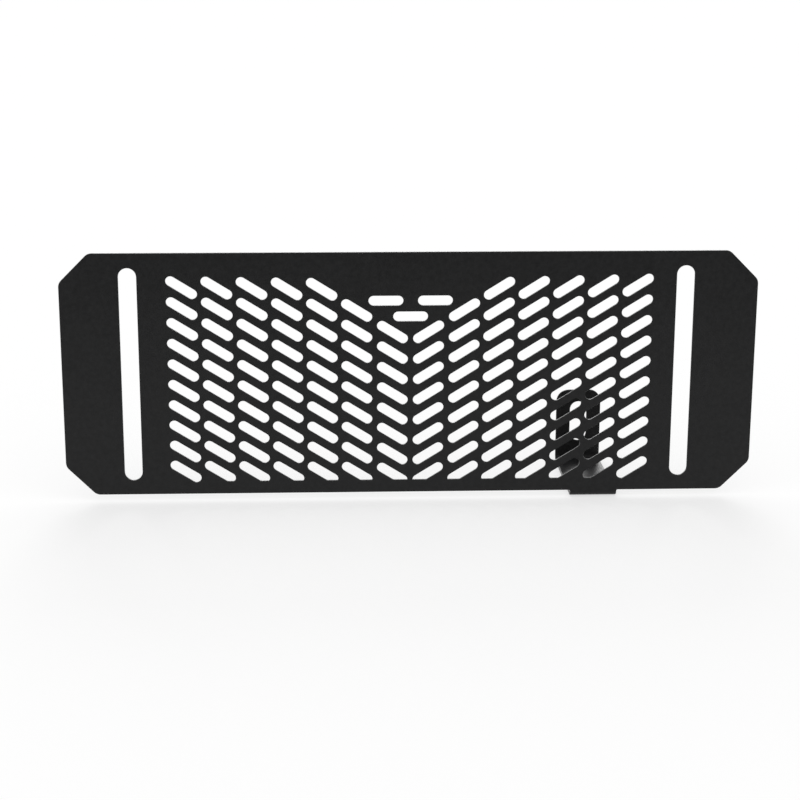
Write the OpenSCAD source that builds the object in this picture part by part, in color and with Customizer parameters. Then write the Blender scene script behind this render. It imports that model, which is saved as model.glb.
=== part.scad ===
// Motorcycle radiator guard: one sheet of metal, laser cut and folded.
// The slotted panel stands upright and faces -Y, +X is to the right as seen from the front, +Z is up.
// A mounting strip is folded from its lower edge: back under the radiator, then up behind it.
// The origin is the middle of the panel's back face. Sizes are millimetres and degrees.

/* [Panel] */
// Width of the panel, side edge to side edge
panel_w = 350; // [280:5:450]
// Height of the panel, lower edge to upper edge
panel_h = 125; // [110:1:180]
// Thickness of the sheet
sheet_t = 1.5; // [1:0.5:3]
// Length that each 45 degree corner cut takes off the edges
corner_cut = 15; // [6:1:25]
// Radius that softens both ends of each corner cut
corner_r = 5; // [1:0.5:6]

/* [Chevron vents] */
// Length of a vent, end to end
vent_len = 17.5; // [12:0.5:22]
// Width of a vent
vent_w = 5; // [3:0.1:8]
// Slope of the vents, which fall towards the middle of the panel
vent_angle = 32; // [15:1:40]
// Plain sheet between a vent and the next one down its column, measured square to the vents
row_web = 4.01; // [2:0.01:7]
// Plain sheet between one column of vents and the next
col_web = 1.85; // [1.5:0.05:5]
// Plain sheet between the two innermost columns
middle_web = 2.6; // [1.6:0.1:6]
// How far each column sits below the next one out
col_drop = 0.3; // [0:0.05:1.5]
// How far the innermost columns are slid along their own vents, away from the next ones out
inner_slide = 0.6; // [0:0.1:2]
// Distance from the upper edge to the centre of the outermost column's top vent
top_margin = 17.5; // [12:0.5:30]
// Plain strip along the lower edge, at which the bottom row is cut off straight
floor_margin = 6.5; // [4:0.5:12]
// Least plain sheet between an uncut vent and an edge, a long slot or a level vent
least_web = 2; // [1:0.1:4]
// Least plain sheet between the outermost column and the long slot beside it
slot_web = 10; // [6:0.5:20]

/* [Level vents] */
// Plain sheet between the two upper level vents, end to end
level_gap = 7.3; // [3:0.1:10]
// Distance from the upper edge to the centres of the two upper level vents
level_margin = 24.7; // [18:0.1:30]
// Plain sheet between the upper level vents and the single lower one
level_web = 3.1; // [2:0.1:5]

/* [Long slots] */
// Width of the long slot at each end of the panel
slot_w = 9; // [5:0.5:14]
// Distance from the side edge of the panel to the centre line of its long slot, before the shift
slot_margin = 35.4; // [20:0.1:45]
// How far both long slots are shifted to the left
slot_shift = 1.3; // [-4:0.1:4]
// Plain sheet above and below each long slot
slot_end = 7.5; // [5:0.5:30]

/* [Mounting strip] */
// Distance from the middle line to the centre line of the strip
strip_x = 94.8; // [-100:0.1:100]
// Width of the strip
strip_w = 24; // [18:0.5:40]
// Clear depth from the back of the panel to the upright, where the radiator's edge sits
strip_gap = 62; // [30:0.5:90]
// Height of the upright, from the underside of the fold to its top edge
upright_h = 40; // [36:0.5:70]
// Radius of the upright's two top corners
upright_r = 6.5; // [2:0.5:9]
// Inside radius of both bends
bend_r = 2; // [1:0.5:4]
// Width of the oblong bolt hole in the upright
hole_w = 9; // [5:0.5:12]
// Length of the oblong bolt hole, end to end
hole_len = 22; // [13:0.5:24]
// Distance from the upright's top edge to the centre of the bolt hole
hole_drop = 17.5; // [15:0.5:19]

/* [Hidden] */
sheet_colour = [0.165, 0.167, 0.172];
// Facets of a full circle: at a vent's ends, on the wider curves and in the bends
end_fn = 16;
curve_fn = 48;
bend_fn = 64;
// Overshoot of every cut
over = 1;

// Half sizes of the panel, the angle of its corner cuts and the place of its long slots
edge_x = panel_w / 2;
edge_z = panel_h / 2;
cut_angle = 45;
slot_x = edge_x - slot_margin;
slot_len = panel_h - 2 * slot_end;

// Half extents of a vent at its slope: its straight stretch, then its box
vent_straight = (vent_len - vent_w) / 2;
vent_reach_x = vent_straight * cos(vent_angle) + vent_w / 2;
vent_reach_z = vent_straight * sin(vent_angle) + vent_w / 2;

// Steps of the grid, and where it starts: the innermost columns are slid inwards from there
row_pitch = (vent_w + row_web) / cos(vent_angle);
col_pitch = 2 * vent_reach_x + col_web;
first_col = middle_web / 2 + vent_reach_x + inner_slide * cos(vent_angle);

// The grid fills the space between the middle line and the long slots
field_x = slot_x - abs(slot_shift) - slot_w / 2 - slot_web - vent_reach_x;
col_last = floor((field_x - first_col) / col_pitch);
row_last = ceil(panel_h / row_pitch);
top_row_z = edge_z - top_margin;
floor_z = -edge_z + floor_margin;
// A row stays when this much of its middle is left above the straight cut
least_cut_z = floor_z + vent_w / 2;

level_x = (vent_len + level_gap) / 2;
level_z = edge_z - level_margin;
level_low_z = level_z - vent_w - level_web;
// The V along the outer ends of the level vents, at the middle line, and the V one vent and one web below it
level_end_z = min(level_low_z - vent_straight * tan(vent_angle),
    level_z - (level_x + vent_straight) * tan(vent_angle));
level_v_z = level_end_z - (vent_w + least_web) / cos(vent_angle);

// The strip's bends start at the panel's lower edge, and both turn about the same height
bend_z = -edge_z;
bend_out_r = bend_r + sheet_t;
strip_low_z = bend_z - bend_out_r;
strip_lap = floor_margin / 2;
upright_top_z = strip_low_z + upright_h;
hole_z = upright_top_z - hole_drop;

// Column 0 is the innermost. x and z of a vent's centre on the right-hand side
function slide(col) = col == 0 ? inner_slide : 0;
function vent_x(col) = first_col + col * col_pitch - slide(col) * cos(vent_angle);
function vent_z(col, row) =
    top_row_z - (col_last - col) * col_drop - row * row_pitch - slide(col) * sin(vent_angle);
function is_outermost(col) = col == col_last;
function clears_floor(col, row) = is_outermost(col)
    ? vent_z(col, row) - vent_reach_z >= -edge_z + least_web
    : vent_z(col, row) >= least_cut_z;
function clears_level_vents(col, row) = vent_z(col, row) - vent_x(col) * tan(vent_angle) <= level_v_z;
function is_cut(col, row) = clears_floor(col, row) && clears_level_vents(col, row);

// An oblong with round ends, lying along X and centred
module oblong(length, width, facets = curve_fn) {
    square([length - width, width], center = true);
    for (side = [-1, 1])
        translate([side * (length - width) / 2, 0])
            circle(d = width, $fn = facets);
}

// The panel's outline: a rectangle with its corners cut off at 45 degrees and softened
module panel_outline() {
    // From a corner to where its soft radius touches: along the edge, then along X or Z on the 45 degree cut
    reach = corner_r * tan(cut_angle / 2);
    cut_reach = reach * sin(cut_angle);
    outline = [
        [edge_x - corner_cut - reach, edge_z], [edge_x - corner_cut + cut_reach, edge_z - cut_reach],
        [edge_x - cut_reach, edge_z - corner_cut + cut_reach], [edge_x, edge_z - corner_cut - reach]
    ];
    quarter = concat([[0, edge_z]], outline, [[edge_x, 0], [0, 0]]);
    for (flip_x = [0, 1], flip_z = [0, 1])
        mirror([flip_x, 0]) mirror([0, flip_z]) {
            polygon(quarter);
            translate([edge_x - corner_cut - reach, edge_z - corner_r])
                circle(corner_r, $fn = curve_fn);
            translate([edge_x - corner_r, edge_z - corner_cut - reach])
                circle(corner_r, $fn = curve_fn);
        }
}

// The right-hand vents: sloping rows in columns, the inner ones cut off straight at the bottom
module vent_field() {
    for (col = [0:col_last])
        difference() {
            for (row = [0:row_last])
                if (is_cut(col, row))
                    translate([vent_x(col), vent_z(col, row)])
                        rotate(vent_angle)
                            oblong(vent_len, vent_w, end_fn);
            if (!is_outermost(col))
                translate([vent_x(col) - col_pitch, floor_z - panel_h])
                    square([2 * col_pitch, panel_h]);
        }
}

// The three level vents that fill the top of the V
module level_vents() {
    for (side = [-1, 1])
        translate([side * level_x, level_z])
            oblong(vent_len, vent_w, end_fn);
    translate([0, level_low_z])
        oblong(vent_len, vent_w, end_fn);
}

// The long slot at each end of the panel
module long_slots() {
    for (side = [-1, 1])
        translate([side * slot_x - slot_shift, 0])
            rotate(90)
                oblong(slot_len, slot_w);
}

// The flat panel, its back face at Y = 0
module panel() {
    rotate([90, 0, 0])
        linear_extrude(sheet_t)
            difference() {
                panel_outline();
                vent_field();
                mirror([1, 0]) vent_field();
                level_vents();
                long_slots();
            }
}

// A box in Y and Z whose two lower corners are round, open to any height above
module rounded_trough(y_low, y_high, z_low, z_high, radius) {
    translate([y_low, z_low + radius])
        square([y_high - y_low, z_high - z_low - radius]);
    translate([y_low + radius, z_low])
        square([y_high - y_low - 2 * radius, z_high - z_low]);
    for (y = [y_low + radius, y_high - radius])
        translate([y, z_low + radius])
            circle(radius, $fn = bend_fn);
}

// The strip seen from its side, in Y and Z: panel, bend, flange, bend and upright in one line
module folded_profile() {
    difference() {
        rounded_trough(-sheet_t, strip_gap + sheet_t, strip_low_z, upright_top_z, bend_out_r);
        rounded_trough(0, strip_gap, strip_low_z + sheet_t, upright_top_z + over, bend_r);
        translate([-sheet_t - over, bend_z + strip_lap])
            square([sheet_t + 2 * over, upright_h]);
    }
}

// The strip seen from the front, in X and Z: it ends in two round corners at the top of the upright
module strip_outline() {
    soft_r = min(upright_r, strip_w / 2 - least_web);
    mirror([0, 1])
        rounded_trough(-strip_w / 2, strip_w / 2, -upright_top_z, over - strip_low_z, soft_r);
}

// The oblong bolt hole in the upright, in X and Z
module bolt_hole() {
    translate([0, hole_z])
        rotate(90)
            oblong(hole_len, hole_w);
}

// The mounting strip, which laps the panel's plain lower margin
module mounting_strip() {
    past_y = strip_gap + sheet_t + over;
    translate([strip_x, 0, 0])
        difference() {
            intersection() {
                rotate([90, 0, 90])
                    linear_extrude(strip_w + 2 * over, center = true)
                        folded_profile();
                translate([0, past_y, 0])
                    rotate([90, 0, 0])
                        linear_extrude(past_y + sheet_t + over)
                            strip_outline();
            }
            translate([0, past_y, 0])
                rotate([90, 0, 0])
                    linear_extrude(sheet_t + 2 * over)
                        bolt_hole();
        }
}

module guard_plate() {
    color(sheet_colour)
        union() {
            panel();
            mounting_strip();
        }
}

guard_plate();
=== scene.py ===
"""Dresses the motorcycle radiator guard: one laser-cut sheet, folded and powder coated.

The flat blank is drawn by a geometry tree from the panel's own sizes, its cut edges are softened by the
coat, and the mounting strip is then folded out of the blank on its two bends. All lengths are metres.
"""

import logging
import math
from dataclasses import dataclass, field
from enum import Enum

import bmesh
import bpy
from mathutils import Euler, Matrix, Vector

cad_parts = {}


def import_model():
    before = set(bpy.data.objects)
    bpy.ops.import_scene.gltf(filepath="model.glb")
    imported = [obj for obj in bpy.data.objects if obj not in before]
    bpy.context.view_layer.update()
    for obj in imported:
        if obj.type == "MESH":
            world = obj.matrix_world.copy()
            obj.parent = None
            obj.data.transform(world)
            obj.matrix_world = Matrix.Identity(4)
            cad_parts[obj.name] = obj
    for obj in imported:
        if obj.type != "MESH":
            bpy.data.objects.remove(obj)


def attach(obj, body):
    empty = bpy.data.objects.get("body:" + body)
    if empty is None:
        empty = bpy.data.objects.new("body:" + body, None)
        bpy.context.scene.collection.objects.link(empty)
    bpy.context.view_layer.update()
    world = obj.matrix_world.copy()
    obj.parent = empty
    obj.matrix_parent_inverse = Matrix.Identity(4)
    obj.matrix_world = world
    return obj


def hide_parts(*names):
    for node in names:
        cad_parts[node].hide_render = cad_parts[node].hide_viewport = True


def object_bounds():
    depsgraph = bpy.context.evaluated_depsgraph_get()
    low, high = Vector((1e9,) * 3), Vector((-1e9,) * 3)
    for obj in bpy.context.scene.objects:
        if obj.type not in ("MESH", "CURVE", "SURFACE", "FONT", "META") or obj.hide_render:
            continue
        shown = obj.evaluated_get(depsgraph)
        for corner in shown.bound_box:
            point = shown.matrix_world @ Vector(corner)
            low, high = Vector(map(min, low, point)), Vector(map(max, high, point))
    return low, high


log = logging.getLogger("radiator_guard")

BODY = "root"
CAD_NODE = "guard_plate"
# Attributes of the mesh: the radius that softens a corner, and where a face belongs to a cut edge
SOFT_RADIUS = "soft_radius"
RIM = "rim"
# Points closer than this are one point
WELD = 2e-6
# Points closer than this to a fold line lie on it
ON_LINE = 2e-7
WHITE = (1.0, 1.0, 1.0, 1.0)
QUARTER_TURN = math.pi / 2
# The vents stand in pairs, one on each side of the middle line
SIDES = 2


def mm(length: float) -> float:
    """Turns millimetres into metres."""
    return length / 1000


class Maths(Enum):
    """What a maths node works out."""

    SUM = "ADD"
    DIFFERENCE = "SUBTRACT"
    PRODUCT = "MULTIPLY"
    QUOTIENT = "DIVIDE"
    REMAINDER = "MODULO"
    FLOOR = "FLOOR"
    SINE = "SINE"
    COSINE = "COSINE"
    LOWEST = "MINIMUM"
    HIGHEST = "MAXIMUM"
    IS_MORE = "GREATER_THAN"
    SOFT_HIGHEST = "SMOOTH_MAX"


class Comparison(Enum):
    """How two numbers are compared in a geometry tree."""

    LESS = "LESS_THAN"
    MORE = "GREATER_THAN"
    EQUAL = "EQUAL"


class Logic(Enum):
    """How yes-or-no terms are joined in a geometry tree."""

    BOTH = "AND"
    EITHER = "OR"
    NOT = "NOT"


class Ray(Enum):
    """The rays that look at the stage, apart from those that gather its light."""

    CAMERA = "Is Camera Ray"
    GLOSSY = "Is Glossy Ray"
    TRANSMISSION = "Is Transmission Ray"


@dataclass(frozen=True, eq=False)
class Term:
    """A number or a yes-or-no in a node tree, written with the usual signs."""

    sketch: "Sketch"
    socket: bpy.types.NodeSocket

    def __add__(self, other: "Term | float") -> "Term":
        """The sum."""
        return self.sketch.maths(Maths.SUM, self, other)

    def __sub__(self, other: "Term | float") -> "Term":
        """The difference."""
        return self.sketch.maths(Maths.DIFFERENCE, self, other)

    def __mul__(self, other: "Term | float") -> "Term":
        """The product."""
        return self.sketch.maths(Maths.PRODUCT, self, other)

    def __truediv__(self, other: "Term | float") -> "Term":
        """The quotient."""
        return self.sketch.maths(Maths.QUOTIENT, self, other)

    def __mod__(self, other: "Term | float") -> "Term":
        """The remainder."""
        return self.sketch.maths(Maths.REMAINDER, self, other)

    def __neg__(self) -> "Term":
        """The same number below nought."""
        return self * -1

    def __lt__(self, other: "Term | float") -> "Term":
        """Whether it is less."""
        return self.sketch.compare(Comparison.LESS, self, other)

    def __gt__(self, other: "Term | float") -> "Term":
        """Whether it is more."""
        return self.sketch.compare(Comparison.MORE, self, other)

    def __and__(self, other: "Term") -> "Term":
        """Whether both hold."""
        return self.sketch.logic(Logic.BOTH, self, other)

    def __or__(self, other: "Term") -> "Term":
        """Whether either holds."""
        return self.sketch.logic(Logic.EITHER, self, other)

    def __invert__(self) -> "Term":
        """Whether it doesn't hold."""
        return self.sketch.logic(Logic.NOT, self)

    def equals(self, other: "Term | float") -> "Term":
        """Whether it is the same number."""
        return self.sketch.compare(Comparison.EQUAL, self, other)

    def floor(self) -> "Term":
        """The whole number below."""
        return self.sketch.maths(Maths.FLOOR, self)

    def sin(self) -> "Term":
        """The sine of an angle."""
        return self.sketch.maths(Maths.SINE, self)

    def cos(self) -> "Term":
        """The cosine of an angle."""
        return self.sketch.maths(Maths.COSINE, self)


@dataclass(frozen=True)
class Sketch:
    """Draws in one node tree, for geometry or for shading."""

    tree: bpy.types.NodeTree

    def node(self, kind: str, settings: dict[str, str] | None = None, **sockets: object) -> bpy.types.Node:
        """Adds a node.

        Args:
            kind: The node's type.
            settings: The node's own settings, by name.
            sockets: What goes into each input, by the socket's name with _ for a space.

        Returns:
            The new node.
        """
        made = self.tree.nodes.new(kind)
        for name, setting in (settings or {}).items():
            setattr(made, name, setting)
        for name, value in sockets.items():
            self.feed(made.inputs[name.replace("_", " ")], value)
        return made

    def feed(self, socket: bpy.types.NodeSocket, value: object) -> None:
        """Links or sets one input.

        Args:
            socket: The input.
            value: A term, an output socket, a node whose first output is meant, or a plain value.
        """
        if isinstance(value, Term):
            value = value.socket
        if isinstance(value, bpy.types.Node):
            value = value.outputs[0]
        if isinstance(value, bpy.types.NodeSocket):
            self.tree.links.new(value, socket)
        else:
            socket.default_value = value

    def term(self, node: bpy.types.Node, output: int | str = 0) -> Term:
        """The term that a node's output holds."""
        return Term(self, node.outputs[output])

    def filled(self, node: bpy.types.Node, values: tuple[object, ...]) -> Term:
        """Fills a node's inputs in their order.

        Args:
            node: The node.
            values: What goes into each input.

        Returns:
            The node's first output.
        """
        for socket, value in zip(node.inputs, values):
            self.feed(socket, value)
        return self.term(node)

    def maths(self, operation: Maths, *values: Term | float) -> Term:
        """Works out a sum, a product or a function of numbers."""
        return self.filled(self.node("ShaderNodeMath", {"operation": operation.value}), values)

    def compare(self, test: Comparison, *values: Term | float) -> Term:
        """Compares two numbers."""
        settings = {"data_type": "FLOAT", "operation": test.value}
        return self.filled(self.node("FunctionNodeCompare", settings), values)

    def logic(self, operation: Logic, *values: Term) -> Term:
        """Joins yes-or-no terms."""
        return self.filled(self.node("FunctionNodeBooleanMath", {"operation": operation.value}), values)

    def vector(self, x: Term | float = 0.0, y: Term | float = 0.0, z: Term | float = 0.0) -> bpy.types.Node:
        """A vector put together from three numbers."""
        return self.node("ShaderNodeCombineXYZ", X=x, Y=y, Z=z)

    def part(self, vector: object, axis: str) -> Term:
        """One of the three numbers of a vector."""
        return self.term(self.node("ShaderNodeSeparateXYZ", Vector=vector), axis)


@dataclass(frozen=True)
class GuardTree(Sketch):
    """The geometry tree of the flat blank, with a named input for every size."""

    way_in: bpy.types.Node
    identifiers: dict[str, str] = field(default_factory=dict)
    values: dict[str, float] = field(default_factory=dict)

    @classmethod
    def begin(cls, name: str) -> "GuardTree":
        """Makes an empty tree that takes geometry in and puts geometry out.

        Args:
            name: The tree's name.

        Returns:
            The tree.
        """
        tree = bpy.data.node_groups.new(name, "GeometryNodeTree")
        for way in ("INPUT", "OUTPUT"):
            tree.interface.new_socket(name="Geometry", in_out=way, socket_type="NodeSocketGeometry")
        return cls(tree, tree.nodes.new("NodeGroupInput"))

    def size(self, name: str, value: float, whole: bool = False) -> Term:
        """Adds a named input.

        Args:
            name: What the size is called.
            value: Its value.
            whole: Whether it counts things.

        Returns:
            The term that carries the size.
        """
        kind = "NodeSocketInt" if whole else "NodeSocketFloat"
        socket = self.tree.interface.new_socket(name=name, in_out="INPUT", socket_type=kind)
        self.identifiers[name] = socket.identifier
        self.values[name] = value
        return Term(self, self.way_in.outputs[name])

    def end(self, shape: bpy.types.Node) -> None:
        """Links the finished shape to the tree's output."""
        way_out = self.tree.nodes.new("NodeGroupOutput")
        self.feed(way_out.inputs["Geometry"], shape)

    def place(self, shape: bpy.types.Node, x: Term | float = 0.0, y: Term | float = 0.0,
              z: Term | float = 0.0, turn: float = 0.0) -> bpy.types.Node:
        """Moves a shape and turns it about Z.

        Args:
            shape: The node that puts out the shape.
            x: How far it is moved along X.
            y: How far it is moved along Y.
            z: How far it is moved along Z.
            turn: The angle that it is turned by.

        Returns:
            The node that puts out the moved shape.
        """
        return self.node("GeometryNodeTransform", Geometry=shape, Translation=self.vector(x, y, z),
                         Rotation=(0.0, 0.0, turn))

    def join(self, *shapes: bpy.types.Node) -> bpy.types.Node:
        """Joins several shapes.

        Args:
            shapes: The nodes that put out the shapes.

        Returns:
            The node that puts them out as one.
        """
        joined = self.node("GeometryNodeJoinGeometry")
        for shape in shapes:
            self.feed(joined.inputs["Geometry"], shape)
        return joined

    def rounded(self, curve: bpy.types.Node, radius: Term | bpy.types.Node,
                steps: Term) -> bpy.types.Node:
        """Rounds a curve's corners, each in a number of straight steps."""
        return self.node("GeometryNodeFilletCurve", {"mode": "POLY"}, Curve=curve, Radius=radius,
                         Count=steps, Limit_Radius=True)

    def oblong(self, length: Term, width: Term, steps: Term) -> bpy.types.Node:
        """Draws a closed curve with round ends.

        Args:
            length: From end to end, along X.
            width: Across, along Y.
            steps: Straight steps in each quarter of a round end.

        Returns:
            The node that puts out the curve.
        """
        box = self.node("GeometryNodeCurvePrimitiveQuadrilateral", Width=length, Height=width)
        # At a full half, the two quarters of an end would meet in doubled points
        almost_half = 0.4999
        return self.rounded(box, width * almost_half, steps)

    def spread(self, curve: bpy.types.Node, points: bpy.types.Node, chosen: Term,
               turn: bpy.types.Node) -> bpy.types.Node:
        """Puts a copy of a curve on each chosen point.

        Args:
            curve: The curve to copy.
            points: All the points.
            chosen: Whether a point gets a copy.
            turn: The turn of each copy.

        Returns:
            The node that puts out the copies as real curves.
        """
        copies = self.node("GeometryNodeInstanceOnPoints", Points=points, Selection=chosen,
                           Instance=curve, Rotation=turn)
        return self.node("GeometryNodeRealizeInstances", Geometry=copies)

    def run_on(self, carrier: bpy.types.Object) -> bpy.types.Mesh:
        """Runs the tree on an object and gives its plain result.

        Args:
            carrier: The object whose mesh goes into the tree.

        Returns:
            The evaluated mesh, free of the modifier.
        """
        modifier = carrier.modifiers.new(self.tree.name, "NODES")
        modifier.node_group = self.tree
        for name, identifier in self.identifiers.items():
            modifier[identifier] = self.values[name]
        graph = bpy.context.evaluated_depsgraph_get()
        result = bpy.data.meshes.new_from_object(carrier.evaluated_get(graph), depsgraph=graph)
        carrier.modifiers.remove(modifier)
        return result


@dataclass(frozen=True)
class SheetStock:
    """The sheet, and how its edges and bends are finished.

    Attributes:
        thickness: Thickness of the sheet.
        edge_radius: Radius of the coated cut edges.
        edge_ring: Width of the flat ring between a softened edge and the flat face that is filled in.
        edge_steps: Straight steps across a softened edge.
        bend_radius: Inside radius of both bends.
        bend_steps: Flat strips that a bend is made of.
    """

    thickness: float = mm(1.5)
    edge_radius: float = mm(0.3)
    edge_ring: float = mm(0.15)
    edge_steps: int = 2
    bend_radius: float = mm(2)
    bend_steps: int = 12

    @property
    def outer_radius(self) -> float:
        """Radius of a bend's outer face."""
        return self.bend_radius + self.thickness

    @property
    def bend_length(self) -> float:
        """Length of blank that a square bend takes up, along the middle of the sheet."""
        return QUARTER_TURN * (self.bend_radius + self.thickness / 2)


@dataclass(frozen=True)
class PanelShape:
    """The panel's outline: a rectangle with its corners cut off at 45 degrees.

    Attributes:
        width: From side edge to side edge.
        height: From lower edge to upper edge.
        corner_cut: Length that each corner cut takes off the edges.
        corner_radius: Radius that softens both ends of a corner cut.
        corner_steps: Straight steps in each softened end.
    """

    width: float = mm(350)
    height: float = mm(125)
    corner_cut: float = mm(15)
    corner_radius: float = mm(5)
    corner_steps: int = 8

    @property
    def edge_x(self) -> float:
        """Half the width."""
        return self.width / 2

    @property
    def edge_z(self) -> float:
        """Half the height."""
        return self.height / 2


@dataclass(frozen=True)
class Vent:
    """One vent, as the blank's tree holds it.

    Attributes:
        length: From end to end.
        width: Across.
        slope: The angle that the sloping ones are turned by.
        curve: The node that puts out its closed curve, lying level at the origin.
    """

    length: Term
    width: Term
    slope: Term
    curve: bpy.types.Node

    @property
    def straight(self) -> Term:
        """Half of its straight stretch."""
        return (self.length - self.width) / 2

    @property
    def tangent(self) -> Term:
        """How steeply it slopes."""
        return self.slope.sin() / self.slope.cos()


@dataclass(frozen=True)
class LevelPlaces:
    """Where the level vents stand, as the blank's tree holds it.

    Attributes:
        x: How far out the upper pair stands.
        upper: Height of the upper pair.
        lower: Height of the single lower vent.
    """

    x: Term
    upper: Term
    lower: Term

    def curves(self, tree: GuardTree, vent: Vent) -> bpy.types.Node:
        """Draws the three vents as closed curves.

        Args:
            tree: The blank's tree.
            vent: The vent that each of them is.

        Returns:
            The node that puts out the curves.
        """
        return tree.join(tree.place(vent.curve, -self.x, self.upper),
                         tree.place(vent.curve, self.x, self.upper), tree.place(vent.curve, y=self.lower))

    def crowded_above(self, tree: GuardTree, vent: Vent, web: Term) -> Term:
        """Finds the V above which a sloping vent would crowd a level one.

        Args:
            tree: The blank's tree.
            vent: The vent that each of them is.
            web: Least plain sheet between two vents.

        Returns:
            The V's height on the middle line.
        """
        ends = tree.maths(Maths.LOWEST, self.lower - vent.straight * vent.tangent,
                          self.upper - (self.x + vent.straight) * vent.tangent)
        return ends - (vent.width + web) / vent.slope.cos()


@dataclass(frozen=True)
class LevelVents:
    """The three level vents that fill the top of the V: a pair above, and a single one below.

    Attributes:
        gap: Plain sheet between the upper two, end to end.
        margin: From the panel's upper edge to the centres of the upper two.
        web: Plain sheet between the upper two and the lower one.
    """

    gap: float = mm(7.3)
    margin: float = mm(24.7)
    web: float = mm(3.1)

    def places(self, tree: GuardTree, panel: PanelShape, vent: Vent) -> LevelPlaces:
        """Works out where the three stand.

        Args:
            tree: The blank's tree.
            panel: The panel that they are cut in.
            vent: The vent that each of them is.

        Returns:
            Their places.
        """
        x = (vent.length + tree.size("Level gap", self.gap)) / 2
        upper = tree.size("Level vent height", panel.edge_z - self.margin)
        lower = upper - vent.width - tree.size("Level web", self.web)
        return LevelPlaces(x, upper, lower)


@dataclass(frozen=True)
class VentField:
    """The sloping vents, in columns that fall towards the middle of the panel.

    Attributes:
        length: Length of a vent, from end to end.
        width: Width of a vent.
        slope: Slope of the vents, which fall towards the middle of the panel.
        end_steps: Straight steps in each quarter of a round end.
        row_web: Plain sheet between a vent and the next one down its column, square to the vents.
        column_web: Plain sheet between one column and the next.
        middle_web: Plain sheet between the two innermost columns.
        column_drop: How far each column sits below the next one out.
        inner_slide: How far the innermost columns are slid down along their own vents.
        top_margin: From the upper edge to the centre of the outermost column's top vent.
        floor_margin: Plain strip along the lower edge, at which the bottom row is cut off straight.
        least_web: Least plain sheet between an uncut vent and an edge or a level vent.
        columns: Columns on each side of the middle line.
        rows: Rows tried in each column, of which the edges and the V leave those that fit.
        cut_step: Length of a straight step along a vent that is cut off.
        cut_corner: How far the corners of a vent that is cut off are eased.
    """

    length: float = mm(17.5)
    width: float = mm(5)
    slope: float = math.radians(32)
    end_steps: int = 5
    row_web: float = mm(4.01)
    column_web: float = mm(1.85)
    middle_web: float = mm(2.6)
    column_drop: float = mm(0.3)
    inner_slide: float = mm(0.6)
    top_margin: float = mm(17.5)
    floor_margin: float = mm(6.5)
    least_web: float = mm(2)
    columns: int = 7
    rows: int = 10
    cut_step: float = mm(0.45)
    cut_corner: float = mm(0.5)

    def vent(self, tree: GuardTree) -> Vent:
        """Draws one vent, lying level at the origin.

        Args:
            tree: The blank's tree.

        Returns:
            The vent and its sizes.
        """
        length = tree.size("Vent length", self.length)
        width = tree.size("Vent width", self.width)
        slope = tree.size("Vent slope", self.slope)
        steps = tree.size("Round end steps", self.end_steps, whole=True)
        return Vent(length, width, slope, tree.oblong(length, width, steps))

    def curves(self, tree: GuardTree, panel: PanelShape, levels: LevelVents) -> bpy.types.Node:
        """Draws every vent as a closed curve, the level ones among them.

        Args:
            tree: The blank's tree.
            panel: The panel that the vents are cut in.
            levels: The level vents.

        Returns:
            The node that puts out the curves.
        """
        vent = self.vent(tree)
        row_web = tree.size("Row web", self.row_web)
        column_web = tree.size("Column web", self.column_web)
        middle_web = tree.size("Middle web", self.middle_web)
        least_web = tree.size("Least web", self.least_web)
        drop = tree.size("Column drop", self.column_drop)
        slide = tree.size("Inner slide", self.inner_slide)
        top = tree.size("Top row height", panel.edge_z - self.top_margin)
        floor = tree.size("Floor line height", self.floor_margin - panel.edge_z)
        columns = tree.size("Columns", self.columns, whole=True)
        rows = tree.size("Rows", self.rows, whole=True)
        places = levels.places(tree, panel, vent)

        sine = vent.slope.sin()
        cosine = vent.slope.cos()
        reach_x = vent.straight * cosine + vent.width / 2
        reach_z = vent.straight * sine + vent.width / 2
        row_pitch = (vent.width + row_web) / cosine
        column_pitch = reach_x * 2 + column_web
        first_column = middle_web / 2 + reach_x + slide * cosine

        index = tree.term(tree.node("GeometryNodeInputIndex"))
        side = (index % SIDES) * 2 - 1
        pair = (index / SIDES).floor()
        column = pair % columns
        row = (pair / columns).floor()
        outermost = column.equals(columns - 1)
        slid = column.equals(0) * slide
        x = first_column + column * column_pitch - slid * cosine
        z = top - (columns - 1 - column) * drop - row * row_pitch - slid * sine

        clears_edge = outermost & (z - reach_z > least_web - panel.edge_z)
        clears_floor = ~outermost & (z > floor + vent.width / 2)
        crowded_above = places.crowded_above(tree, vent, least_web)
        kept = (clears_edge | clears_floor) & (z - x * vent.tangent < crowded_above)
        cut_off = kept & ~outermost & (z - reach_z < floor)
        points = tree.node("GeometryNodePoints", Count=columns * rows * SIDES,
                           Position=tree.vector(side * x, z))
        turn = tree.vector(z=side * vent.slope)
        whole_vents = tree.spread(vent.curve, points, kept & ~cut_off, turn)
        step = tree.size("Cut vent step", self.cut_step)
        fine = tree.node("GeometryNodeResampleCurve", {"mode": "LENGTH"}, Curve=vent.curve, Length=step)
        cut_vents = self._lifted(tree, tree.spread(fine, points, cut_off, turn), floor)
        return tree.join(whole_vents, cut_vents, places.curves(tree, vent))

    def _lifted(self, tree: GuardTree, curves: bpy.types.Node, floor: Term) -> bpy.types.Node:
        """Cuts curves off straight at the floor line, with slightly eased corners.

        Args:
            tree: The blank's tree.
            curves: The curves that cross the line.
            floor: The line's height.

        Returns:
            The node that puts out the cut curves.
        """
        here = tree.node("GeometryNodeInputPosition")
        corner = tree.size("Cut vent corner", self.cut_corner)
        height = tree.maths(Maths.SOFT_HIGHEST, tree.part(here, "Y"), floor, corner)
        return tree.node("GeometryNodeSetPosition", Geometry=curves,
                         Position=tree.vector(tree.part(here, "X"), height))


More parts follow.
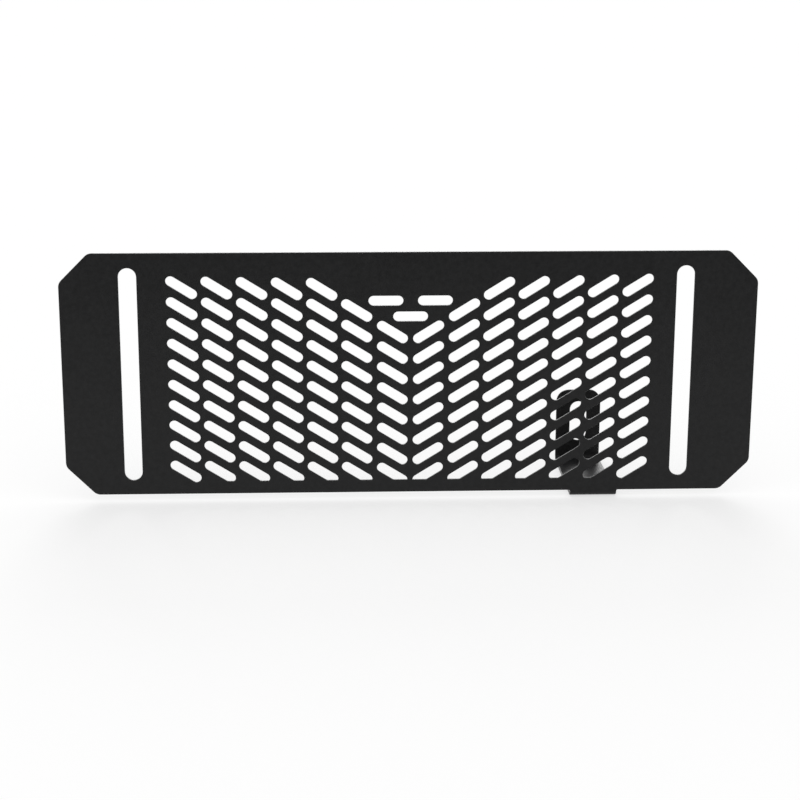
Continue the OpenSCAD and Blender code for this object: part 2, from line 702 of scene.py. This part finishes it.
@dataclass(frozen=True)
class LongSlots:
    """The long upright slot at each end of the panel.

    Attributes:
        width: Width of a slot.
        side_margin: From the panel's side edge to the slot's centre line, before the shift.
        shift: How far both slots are shifted to the left.
        end_margin: Plain sheet above and below a slot.
        end_steps: Straight steps in each quarter of a round end.
    """

    width: float = mm(9)
    side_margin: float = mm(35.4)
    shift: float = mm(1.3)
    end_margin: float = mm(7.5)
    end_steps: int = 12

    def curves(self, tree: GuardTree, panel: PanelShape) -> bpy.types.Node:
        """Draws both slots as closed curves.

        Args:
            tree: The blank's tree.
            panel: The panel that they are cut in.

        Returns:
            The node that puts out the curves.
        """
        length = tree.size("Long slot length", panel.height - 2 * self.end_margin)
        width = tree.size("Long slot width", self.width)
        x = tree.size("Long slot place", panel.edge_x - self.side_margin)
        shift = tree.size("Long slot shift", self.shift)
        steps = tree.size("Long slot steps", self.end_steps, whole=True)
        slot = tree.oblong(length, width, steps)
        return tree.join(tree.place(slot, -x - shift, turn=QUARTER_TURN),
                         tree.place(slot, x - shift, turn=QUARTER_TURN))


@dataclass(frozen=True)
class MountingStrip:
    """The strip folded from the panel's lower edge: back under the radiator, then up behind it.

    Attributes:
        centre_x: From the panel's middle line to the strip's.
        width: Width of the strip.
        gap: Clear depth from the panel's back to the upright.
        upright: Height of the upright, from the underside of the fold to its top edge.
        end_radius: Radius of the upright's two top corners.
        root_radius: Radius of the two corners between the strip and the panel.
        hole_width: Width of the bolt hole.
        hole_length: Length of the bolt hole, from end to end.
        hole_drop: From the upright's top edge to the centre of the bolt hole.
        hole_steps: Straight steps in each quarter of the hole's round ends.
        stock: The sheet.
    """

    centre_x: float = mm(94.8)
    width: float = mm(24)
    gap: float = mm(62)
    upright: float = mm(40)
    end_radius: float = mm(6.5)
    root_radius: float = mm(0.7)
    hole_width: float = mm(9)
    hole_length: float = mm(22)
    hole_drop: float = mm(17.5)
    hole_steps: int = 10
    stock: SheetStock = field(default_factory=SheetStock)

    @property
    def flange(self) -> float:
        """Length of the flat run between the two bends."""
        return self.gap - 2 * self.stock.bend_radius

    @property
    def flat_length(self) -> float:
        """Length of the strip in the flat blank."""
        return 2 * self.stock.bend_length + self.flange + self.upright - self.stock.outer_radius

    def corners(self, panel: PanelShape) -> list[tuple[float, float, float]]:
        """Lists the strip's corners in the flat blank.

        Args:
            panel: The panel whose lower edge the strip hangs from.

        Returns:
            Each corner's x and z, and the radius that softens it.
        """
        left = self.centre_x - self.width / 2
        right = self.centre_x + self.width / 2
        root_z = -panel.edge_z
        end_z = root_z - self.flat_length
        return [(left, root_z, self.root_radius), (left, end_z, self.end_radius),
                (right, end_z, self.end_radius), (right, root_z, self.root_radius)]

    def hole(self, tree: GuardTree, panel: PanelShape) -> bpy.types.Node:
        """Draws the oblong bolt hole as a closed curve, where it lies in the flat blank.

        Args:
            tree: The blank's tree.
            panel: The panel whose lower edge the strip hangs from.

        Returns:
            The node that puts out the curve.
        """
        length = tree.size("Bolt hole length", self.hole_length)
        width = tree.size("Bolt hole width", self.hole_width)
        x = tree.size("Strip place", self.centre_x)
        z = tree.size("Bolt hole place", self.hole_drop - panel.edge_z - self.flat_length)
        steps = tree.size("Bolt hole steps", self.hole_steps, whole=True)
        return tree.place(tree.oblong(length, width, steps), x, z, turn=QUARTER_TURN)

    def bend_lines(self) -> list[float]:
        """Lists the lines that the strip is folded on, several to each bend.

        Returns:
            How far below the panel's lower edge each lies in the blank.
        """
        stock = self.stock
        steps = [stock.bend_length * i / stock.bend_steps for i in range(stock.bend_steps + 1)]
        return steps + [stock.bend_length + self.flange + step for step in steps]

    def folded(self, y: float, run: float) -> tuple[float, float]:
        """Finds where a point of the blank goes when the strip is folded.

        Args:
            y: The point's depth in the sheet: 0 on its back face, less towards its front face.
            run: How far the point lies below the panel's lower edge.

        Returns:
            Its y, and its z from the panel's lower edge.
        """
        stock = self.stock
        radius = stock.bend_radius - y
        # Both bends turn about points level with the panel's lower edge. These are the points' y
        first = stock.bend_radius
        second = self.gap - stock.bend_radius
        flange_start = stock.bend_length
        flange_end = flange_start + self.flange
        if run <= flange_start:
            turn = run / stock.bend_length * QUARTER_TURN
            return first - radius * math.cos(turn), -radius * math.sin(turn)
        if run <= flange_end:
            return first + run - flange_start, -radius
        if run <= flange_end + stock.bend_length:
            turn = (run - flange_end) / stock.bend_length * QUARTER_TURN
            return second + radius * math.sin(turn), -radius * math.cos(turn)
        return second + radius, run - flange_end - stock.bend_length

    def fold(self, mesh: bpy.types.Mesh, panel: PanelShape) -> None:
        """Cuts the blank's faces along the fold lines, then bends the strip.

        Args:
            mesh: The upright blank, changed in place.
            panel: The panel whose lower edge the strip hangs from.
        """
        shell = bmesh.new()
        shell.from_mesh(mesh)
        for run in self.bend_lines():
            bmesh.ops.bisect_plane(shell, geom=shell.verts[:] + shell.edges[:] + shell.faces[:],
                                   plane_co=(0, 0, -panel.edge_z - run), plane_no=(0, 0, 1), dist=ON_LINE)
        for vert in shell.verts:
            run = -panel.edge_z - vert.co.z
            if run > 0:
                y, z = self.folded(vert.co.y, run)
                vert.co.y = y
                vert.co.z = z - panel.edge_z
        bmesh.ops.remove_doubles(shell, verts=shell.verts, dist=WELD)
        bmesh.ops.recalc_face_normals(shell, faces=shell.faces)
        shell.to_mesh(mesh)
        shell.free()


@dataclass(frozen=True)
class RadiatorGuard:
    """The whole guard, made as the real one is: a flat blank, cut, folded and coated.

    Attributes:
        name: Name of the piece.
        stock: The sheet.
        panel: The panel's outline.
        vents: The sloping vents.
        levels: The level vents.
        slots: The long slots.
        strip: The mounting strip.
    """

    name: str = "guard_sheet"
    stock: SheetStock = field(default_factory=SheetStock)
    panel: PanelShape = field(default_factory=PanelShape)
    vents: VentField = field(default_factory=VentField)
    levels: LevelVents = field(default_factory=LevelVents)
    slots: LongSlots = field(default_factory=LongSlots)
    strip: MountingStrip = field(default_factory=MountingStrip)

    def outline(self) -> bpy.types.Mesh:
        """Draws the blank's outline with sharp corners.

        Returns:
            The outline, with the radius that will soften each corner stored on it.
        """
        x = self.panel.edge_x
        z = self.panel.edge_z
        cut = self.panel.corner_cut
        soft = self.panel.corner_radius
        corners = [(x, z - cut, soft), (x - cut, z, soft), (cut - x, z, soft), (-x, z - cut, soft),
                   (-x, cut - z, soft), (cut - x, -z, soft), *self.strip.corners(self.panel),
                   (x - cut, -z, soft), (x, cut - z, soft)]
        mesh = bpy.data.meshes.new("guard_outline")
        mesh.from_pydata([(x, z, 0) for x, z, _ in corners],
                         [(i, (i + 1) % len(corners)) for i in range(len(corners))], [])
        radii = mesh.attributes.new(SOFT_RADIUS, "FLOAT", "POINT")
        for item, (_, _, radius) in zip(radii.data, corners):
            item.value = radius
        return mesh

    def blank_tree(self, material: bpy.types.Material) -> GuardTree:
        """Builds the tree that turns the outline into the flat blank.

        Args:
            material: The coat.

        Returns:
            The finished tree.
        """
        tree = GuardTree.begin("guard_blank")
        holes = tree.join(self.vents.curves(tree, self.panel, self.levels),
                          self.slots.curves(tree, self.panel), self.strip.hole(tree, self.panel))
        steps = tree.size("Corner steps", self.panel.corner_steps, whole=True)
        radius = tree.node("GeometryNodeInputNamedAttribute", {"data_type": "FLOAT"}, Name=SOFT_RADIUS)
        edge = tree.rounded(tree.node("GeometryNodeMeshToCurve", Mesh=tree.way_in), radius, steps)
        outline = tree.node("GeometryNodeReverseCurve", Curve=edge)
        thickness = tree.size("Sheet thickness", self.stock.thickness)
        rims = self._rims(tree, tree.join(outline, holes), thickness)
        sheet = tree.join(rims, self._faces(tree, rims, thickness))
        welded = tree.node("GeometryNodeMergeByDistance", Geometry=sheet, Distance=WELD)
        upright = tree.node("GeometryNodeTransform", Geometry=welded, Rotation=(QUARTER_TURN, 0, 0))
        shaded = tree.node("GeometryNodeSetShadeSmooth", Geometry=upright, Shade_Smooth=True)
        real = tree.node("GeometryNodeRealizeInstances", Geometry=shaded)
        tree.end(tree.node("GeometryNodeSetMaterial", Geometry=real, Material=material))
        return tree

    def _rims(self, tree: GuardTree, lines: bpy.types.Node, thickness: Term) -> bpy.types.Node:
        """Sweeps the softened edge of the sheet along every cut line.

        Args:
            tree: The blank's tree.
            lines: The outline and the holes.
            thickness: The sheet's thickness.

        Returns:
            The node that puts out the rims, marked as such.
        """
        radius = tree.size("Edge radius", self.stock.edge_radius)
        steps = tree.size("Edge steps", self.stock.edge_steps, whole=True)
        depth = radius + tree.size("Edge ring", self.stock.edge_ring)
        box = tree.node("GeometryNodeCurvePrimitiveQuadrilateral", Width=depth, Height=thickness)
        open_box = tree.node("GeometryNodeSetSplineCyclic", Geometry=box, Cyclic=False)
        section = tree.rounded(tree.place(open_box, depth / 2, -thickness / 2), radius, steps)
        swept = tree.node("GeometryNodeCurveToMesh", Curve=lines, Profile_Curve=section)
        return tree.node("GeometryNodeStoreNamedAttribute", {"data_type": "FLOAT", "domain": "FACE"},
                         Geometry=swept, Name=RIM, Value=1.0)

    def _faces(self, tree: GuardTree, rims: bpy.types.Node, thickness: Term) -> bpy.types.Node:
        """Fills the sheet's two flat faces between the rims.

        Args:
            tree: The blank's tree.
            rims: The rims that bound them.
            thickness: The sheet's thickness.

        Returns:
            The node that puts out both faces.
        """
        welded = tree.node("GeometryNodeMergeByDistance", Geometry=rims, Distance=WELD)
        is_open = tree.term(tree.node("GeometryNodeInputMeshEdgeNeighbors")).equals(1)
        is_above = tree.part(tree.node("GeometryNodeInputPosition"), "Z") > thickness / 2
        loops = tree.node("GeometryNodeMeshToCurve", Mesh=welded, Selection=is_open & is_above)
        face = tree.node("GeometryNodeFillCurve", {"mode": "TRIANGLES"}, Curve=loops)
        return tree.join(tree.place(face, z=thickness), tree.node("GeometryNodeFlipFaces", Mesh=face))

    def build(self, material: bpy.types.Material) -> bpy.types.Object:
        """Makes the guard.

        Args:
            material: The coat.

        Returns:
            The finished piece, in the scene.
        """
        piece = bpy.data.objects.new(self.name, self.outline())
        bpy.context.scene.collection.objects.link(piece)
        blank = self.blank_tree(material).run_on(piece)
        self.strip.fold(blank, self.panel)
        outline = piece.data
        piece.data = blank
        bpy.data.meshes.remove(outline)
        blank.name = piece.name
        return piece


@dataclass(frozen=True)
class Lumps:
    """A cloudy pattern.

    Attributes:
        width: Width of one lump.
        detail: How many finer layers it is broken up by.
        roughness: How strong each finer layer is beside the one before.
    """

    width: float
    detail: float
    roughness: float


@dataclass(frozen=True)
class ShaderTree(Sketch):
    """A material's or the world's node tree."""

    def cloudy(self, coordinate: bpy.types.NodeSocket, lumps: Lumps) -> Term:
        """Draws a cloudy pattern over the surface.

        Args:
            coordinate: The coordinates that it follows, in metres.
            lumps: The pattern.

        Returns:
            The pattern, about 0.5 on average.
        """
        return self.term(self.node("ShaderNodeTexNoise", Vector=coordinate, Scale=1 / lumps.width,
                                   Detail=lumps.detail, Roughness=lumps.roughness), "Fac")

    def between(self, low: float, high: float, share: Term) -> Term:
        """A number between two ends."""
        return share * (high - low) + low

    def blend(self, first: tuple[float, ...], second: tuple[float, ...],
              share: Term) -> bpy.types.NodeSocket:
        """Blends two colours.

        Args:
            first: The colour at a share of 0.
            second: The colour at a share of 1.
            share: The share.

        Returns:
            The socket that puts out the blend.
        """
        mix = self.node("ShaderNodeMix", {"data_type": "RGBA"}, Factor=share)
        ends = [socket for socket in mix.inputs if socket.type == "RGBA"]
        for socket, colour in zip(ends, (first, second)):
            socket.default_value = (*colour, 1)
        return next(socket for socket in mix.outputs if socket.type == "RGBA")

    def seen_by(self, *rays: Ray) -> Term:
        """Tells whether the surface is seen by one of these rays.

        Args:
            rays: The rays.

        Returns:
            1 where it is, and 0 elsewhere.
        """
        path = self.node("ShaderNodeLightPath")
        seen = self.term(path, rays[0].value)
        for ray in rays[1:]:
            seen = self.maths(Maths.HIGHEST, seen, self.term(path, ray.value))
        return seen


@dataclass(frozen=True)
class PowderCoat:
    """Satin black powder coat: a mottled skin with orange peel and fine grain, smoother on the edges.

    Attributes:
        deep: Colour at the dark end of the mottle.
        bloom: Colour at its pale end.
        smooth: Roughness at its dark end.
        rough: Roughness at its pale end.
        edge_smoothing: What a softened edge takes off the roughness.
        specular: How strongly the coat mirrors.
        cloud: Wide and faint clouds.
        peel: The orange peel.
        grain: The fine grain.
        cloud_share: Share of the clouds in the mottle.
        peel_share: Share of the peel in the mottle.
        grain_share: Share of the grain in the mottle.
        peel_height: Height of the peel's relief.
        grain_height: Height of the grain's relief.
    """

    deep: tuple[float, float, float] = (0.0040, 0.0041, 0.0043)
    bloom: tuple[float, float, float] = (0.0270, 0.0272, 0.0277)
    smooth: float = 0.27
    rough: float = 0.47
    edge_smoothing: float = 0.06
    specular: float = 0.2
    cloud: Lumps = Lumps(mm(42), detail=3.0, roughness=0.55)
    peel: Lumps = Lumps(mm(2.2), detail=1.0, roughness=0.4)
    grain: Lumps = Lumps(mm(0.5), detail=2.0, roughness=0.6)
    cloud_share: float = 0.2
    peel_share: float = 0.5
    grain_share: float = 0.3
    peel_height: float = mm(0.05)
    grain_height: float = mm(0.045)

    def material(self) -> bpy.types.Material:
        """Builds the coat's material.

        Returns:
            The material.
        """
        coat = bpy.data.materials.new("powder_coat_black")
        coat.use_nodes = True
        tree = ShaderTree(coat.node_tree)
        shader = coat.node_tree.nodes["Principled BSDF"]
        place = tree.node("ShaderNodeTexCoord").outputs["Object"]
        cloud = tree.cloudy(place, self.cloud)
        peel = tree.cloudy(place, self.peel)
        grain = tree.cloudy(place, self.grain)
        rim = tree.term(tree.node("ShaderNodeAttribute", {"attribute_name": RIM}), "Fac")

        mottle = grain * self.grain_share + peel * self.peel_share + cloud * self.cloud_share
        tree.feed(shader.inputs["Base Color"], tree.blend(self.deep, self.bloom, mottle))
        dull = tree.between(self.smooth, self.rough, mottle)
        tree.feed(shader.inputs["Roughness"], dull - rim * self.edge_smoothing)
        # The heights are in metres already, so the bump's own distance is one metre
        height = peel * self.peel_height + grain * self.grain_height
        tree.feed(shader.inputs["Normal"], tree.node("ShaderNodeBump", Height=height, Distance=1.0))
        shader.inputs["Specular IOR Level"].default_value = self.specular
        return coat


@dataclass(frozen=True)
class Studio:
    """A pale floor under soft light: a bright even room, and one wide lamp far behind and above the guard.

    The floor ends in front of the guard like a table's edge, and below the horizon the room is dim. The
    lower part of the panel mirrors the floor, and the upper part mirrors the dim room past its edge.

    Attributes:
        floor_size: Width of the floor.
        floor_front: How far it reaches in front of the panel's back face.
        floor_drop: How far it lies below the guard's lowest point.
        floor_tone: Its grey, from 0 for black to 1 for white.
        floor_glow: Light that it adds where it is seen or mirrored.
        room_light: Brightness of the room above the horizon, where its light is gathered.
        dim_light: Brightness of the room below the horizon.
        lamp_rise_degrees: Height of the lamp above the horizon.
        lamp_spread_degrees: How wide the lamp looks from the guard.
        lamp_strength: Strength of the lamp.
    """

    floor_size: float = 12.0
    floor_front: float = 0.45
    floor_drop: float = mm(0.1)
    floor_tone: float = 0.42
    floor_glow: float = 0.6
    room_light: float = 0.8
    dim_light: float = 0.1
    lamp_rise_degrees: float = 26.0
    lamp_spread_degrees: float = 34.0
    lamp_strength: float = 1.15

    def floor(self, lowest: float) -> bpy.types.Object:
        """Lays the floor under the guard.

        Args:
            lowest: Height of the guard's lowest point.

        Returns:
            The floor.
        """
        half = self.floor_size / 2
        front = -self.floor_front
        z = lowest - self.floor_drop
        mesh = bpy.data.meshes.new("floor")
        mesh.from_pydata([(-half, front, z), (half, front, z), (half, half, z), (-half, half, z)], [],
                         [(0, 1, 2, 3)])
        mesh.materials.append(self._white())
        floor = bpy.data.objects.new("floor", mesh)
        bpy.context.scene.collection.objects.link(floor)
        return floor

    def _white(self) -> bpy.types.Material:
        """Builds the floor's white, which glows a little more where it is seen or mirrored.

        Returns:
            The material.
        """
        white = bpy.data.materials.new("floor_white")
        white.use_nodes = True
        tree = ShaderTree(white.node_tree)
        shader = white.node_tree.nodes["Principled BSDF"]
        shader.inputs["Base Color"].default_value = (self.floor_tone, self.floor_tone, self.floor_tone, 1)
        # The floor is matt and mirrors nothing
        shader.inputs["Roughness"].default_value = 1.0
        shader.inputs["Specular IOR Level"].default_value = 0.0
        shader.inputs["Emission Color"].default_value = WHITE
        tree.feed(shader.inputs["Emission Strength"], tree.seen_by(*Ray) * self.floor_glow)
        return white

    def light(self) -> None:
        """Sets the room's light and hangs the lamp."""
        world = bpy.data.worlds.new("studio")
        world.use_nodes = True
        bpy.context.scene.world = world
        tree = ShaderTree(world.node_tree)
        background = world.node_tree.nodes["Background"]
        background.inputs["Color"].default_value = WHITE
        direction = tree.node("ShaderNodeTexCoord").outputs["Generated"]
        above = tree.maths(Maths.IS_MORE, tree.part(direction, "Z"), 0.0)
        room = tree.between(self.room_light, 1.0, tree.seen_by(Ray.GLOSSY, Ray.TRANSMISSION))
        dimmed = above * (room - self.dim_light) + self.dim_light
        tree.feed(background.inputs["Strength"],
                  tree.maths(Maths.HIGHEST, dimmed, tree.seen_by(Ray.CAMERA)))

        lamp = bpy.data.lights.new("soft_lamp", "SUN")
        lamp.angle = math.radians(self.lamp_spread_degrees)
        lamp.energy = self.lamp_strength
        holder = bpy.data.objects.new("soft_lamp", lamp)
        holder.rotation_euler = (math.radians(self.lamp_rise_degrees) - QUARTER_TURN, 0, 0)
        bpy.context.scene.collection.objects.link(holder)


@dataclass(frozen=True)
class PhotoCamera:
    """The camera, where the photograph was taken from.

    Attributes:
        place: Where it stands.
        turn_degrees: How it is turned about X, Y and Z.
        sensor_mm: Width of its sensor, in millimetres.
        focal_pixels: Its focal length, in pixels of the photograph.
        image_pixels: Width of the photograph, in pixels.
        nearest: Distance from which it sees things.
        farthest: Distance up to which it sees things.
    """

    place: tuple[float, float, float] = (-0.0457, -0.9293, 0.2385)
    turn_degrees: tuple[float, float, float] = (74.811, -0.178, -2.449)
    sensor_mm: float = 36.0
    focal_pixels: float = 1897.0
    image_pixels: float = 800.0
    nearest: float = 0.01
    farthest: float = 100.0

    def make(self) -> None:
        """Sets the camera up and makes it the scene's."""
        data = bpy.data.cameras.new("photo_camera")
        data.sensor_width = self.sensor_mm
        data.lens = self.focal_pixels / self.image_pixels * self.sensor_mm
        data.clip_start = self.nearest
        data.clip_end = self.farthest
        camera = bpy.data.objects.new("photo_camera", data)
        camera.location = self.place
        camera.rotation_euler = Euler([math.radians(angle) for angle in self.turn_degrees])
        bpy.context.scene.collection.objects.link(camera)
        bpy.context.scene.camera = camera


def main() -> None:
    """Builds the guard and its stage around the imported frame."""
    logging.basicConfig(level=logging.INFO, format="%(name)s: %(message)s")
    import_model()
    cad_box = [list(corner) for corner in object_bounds()]
    bpy.context.scene.view_settings.view_transform = "Standard"
    PhotoCamera().make()
    studio = Studio()
    studio.light()
    studio.floor(cad_box[0][2])

    guard = RadiatorGuard().build(PowderCoat().material())
    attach(guard, BODY)
    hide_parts(CAD_NODE)
    log.info("%s: %d faces", guard.name, len(guard.data.polygons))


if __name__ == "__main__":
    main()
